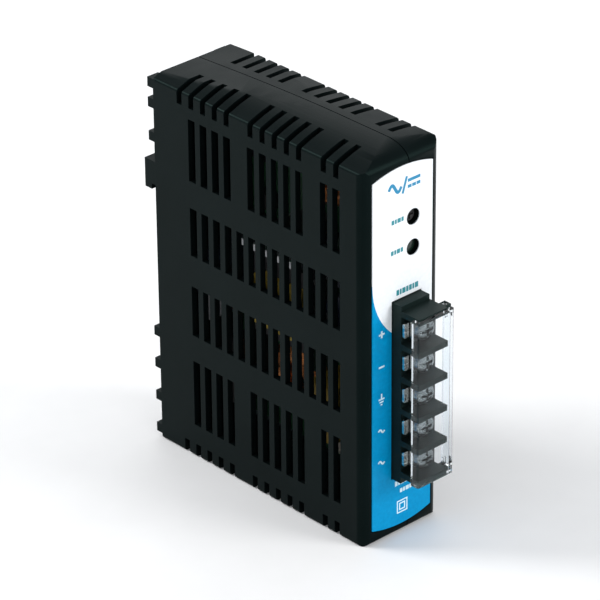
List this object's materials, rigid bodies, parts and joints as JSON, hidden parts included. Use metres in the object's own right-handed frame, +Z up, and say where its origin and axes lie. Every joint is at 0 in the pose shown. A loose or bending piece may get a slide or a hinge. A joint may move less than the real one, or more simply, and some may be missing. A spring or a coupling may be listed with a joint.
{
  "type": "din rail power supply",
  "caption": "Slim slotted black case for a 35 mm rail, with a printed front label and a barrier terminal strip under a clear hinged cover.",
  "frame": {"origin": "under the middle of the whole supply, on the plane it stands on", "axes": "+Z up, front with the terminals towards -Y, rail side towards +Y, +X to the right when looking at the front"},
  "size_m": [0.03, 0.1036, 0.1226],
  "materials": {
    "case_plastic": "fine moulded texture",
    "terminal_plastic": "moulded",
    "label_print": "printed film, white over blue",
    "clear_plastic": "clear moulded sheet",
    "nickel": "bright plated",
    "spring_steel": "plain",
    "clip_plastic": "moulded",
    "trimmer_plastic": "moulded",
    "indicator_lens": "clear tinted",
    "board": "solder resist",
    "ferrite": "fired",
    "winding_tape": "taped",
    "copper_wire": "enamelled",
    "capacitor_sleeve": "shrink sleeve",
    "film_box": "potted box",
    "heatsink": "plain sheet",
    "component_black": "moulded",
    "disc_blue": "dipped",
    "disc_green": "dipped",
    "fuse_sleeve": "ceramic tube"
  },
  "bodies": {
    "housing": {"left_shell": "case_plastic", "right_shell": "case_plastic", "front_label": "label_print", "terminal_base": "terminal_plastic", "trimmer_body": "trimmer_plastic", "ok_indicator": "indicator_lens", "circuit_board": "board", "mains_fuse": "fuse_sleeve", "surge_varistor": "disc_blue", "inrush_thermistor": "disc_green", "mains_filter_capacitor": "film_box", "line_filter_choke": "copper_wire", "bridge_rectifier": "component_black", "bulk_capacitor": "capacitor_sleeve", "transformer_core": "ferrite", "transformer_winding": "winding_tape", "primary_heatsink": "heatsink", "switching_transistor": "component_black", "secondary_heatsink": "heatsink", "output_rectifier": "component_black", "output_capacitor_1": "capacitor_sleeve", "output_capacitor_2": "capacitor_sleeve", "output_choke": "copper_wire", "control_chip": "component_black", "optocoupler": "component_black", "contact_plate_1": "nickel", "contact_plate_2": "nickel", "contact_plate_3": "nickel", "contact_plate_4": "nickel", "contact_plate_5": "nickel", "clip_spring": "spring_steel"},
    "cover": {"terminal_cover": "clear_plastic"},
    "trimmer": {"trimmer_rotor": "trimmer_plastic"},
    "clip": {"rail_clip": "clip_plastic"},
    "clamp_1": {"clamp_washer_1": "nickel"},
    "screw_1": {"terminal_screw_1": "nickel"},
    "clamp_2": {"clamp_washer_2": "nickel"},
    "screw_2": {"terminal_screw_2": "nickel"},
    "clamp_3": {"clamp_washer_3": "nickel"},
    "screw_3": {"terminal_screw_3": "nickel"},
    "clamp_4": {"clamp_washer_4": "nickel"},
    "screw_4": {"terminal_screw_4": "nickel"},
    "clamp_5": {"clamp_washer_5": "nickel"},
    "screw_5": {"terminal_screw_5": "nickel"}
  },
  "joints": [
    {"name": "clip_slide", "type": "slide", "parent": "housing", "child": "clip", "axis": [0, 0, -1], "range_m": [0, 0.0045], "stiffness_N_per_m": 800, "springref_m": -0.004, "deforming": ["clip_spring"]},
    {"name": "cover_hinge", "type": "hinge", "parent": "housing", "child": "cover", "pos_m": [0.0084, -0.0482, 0.0478], "axis": [0, 0, 1], "range_deg": [0, 115]},
    {"name": "trimmer_turn", "type": "hinge", "parent": "housing", "child": "trimmer", "pos_m": [0.0041, -0.03835, 0.1004], "axis": [0, -1, 0], "range_deg": [-135, 135]},
    {"name": "clamp_slide_1", "type": "slide", "parent": "housing", "child": "clamp_1", "axis": [0, -1, 0], "range_m": [0, 0.0024]},
    {"name": "screw_turn_1", "type": "hinge", "parent": "clamp_1", "child": "screw_1", "pos_m": [0.0017, -0.04585, 0.0686], "axis": [0, -1, 0], "range_deg": [0, 1441]},
    {"name": "clamp_slide_2", "type": "slide", "parent": "housing", "child": "clamp_2", "axis": [0, -1, 0], "range_m": [0, 0.0024]},
    {"name": "screw_turn_2", "type": "hinge", "parent": "clamp_2", "child": "screw_2", "pos_m": [0.0017, -0.04585, 0.05822], "axis": [0, -1, 0], "range_deg": [0, 1441]},
    {"name": "clamp_slide_3", "type": "slide", "parent": "housing", "child": "clamp_3", "axis": [0, -1, 0], "range_m": [0, 0.0024]},
    {"name": "screw_turn_3", "type": "hinge", "parent": "clamp_3", "child": "screw_3", "pos_m": [0.0017, -0.04585, 0.04782], "axis": [0, -1, 0], "range_deg": [0, 1441]},
    {"name": "clamp_slide_4", "type": "slide", "parent": "housing", "child": "clamp_4", "axis": [0, -1, 0], "range_m": [0, 0.0024]},
    {"name": "screw_turn_4", "type": "hinge", "parent": "clamp_4", "child": "screw_4", "pos_m": [0.0017, -0.04585, 0.03744], "axis": [0, -1, 0], "range_deg": [0, 1441]},
    {"name": "clamp_slide_5", "type": "slide", "parent": "housing", "child": "clamp_5", "axis": [0, -1, 0], "range_m": [0, 0.0024]},
    {"name": "screw_turn_5", "type": "hinge", "parent": "clamp_5", "child": "screw_5", "pos_m": [0.0017, -0.04585, 0.02704], "axis": [0, -1, 0], "range_deg": [0, 1441]}
  ],
  "couplings": [
    {"joint": "screw_turn_1", "follows": "clamp_slide_1", "rad_per_m": 10472},
    {"joint": "screw_turn_2", "follows": "clamp_slide_2", "rad_per_m": 10472},
    {"joint": "screw_turn_3", "follows": "clamp_slide_3", "rad_per_m": 10472},
    {"joint": "screw_turn_4", "follows": "clamp_slide_4", "rad_per_m": 10472},
    {"joint": "screw_turn_5", "follows": "clamp_slide_5", "rad_per_m": 10472}
  ]
}
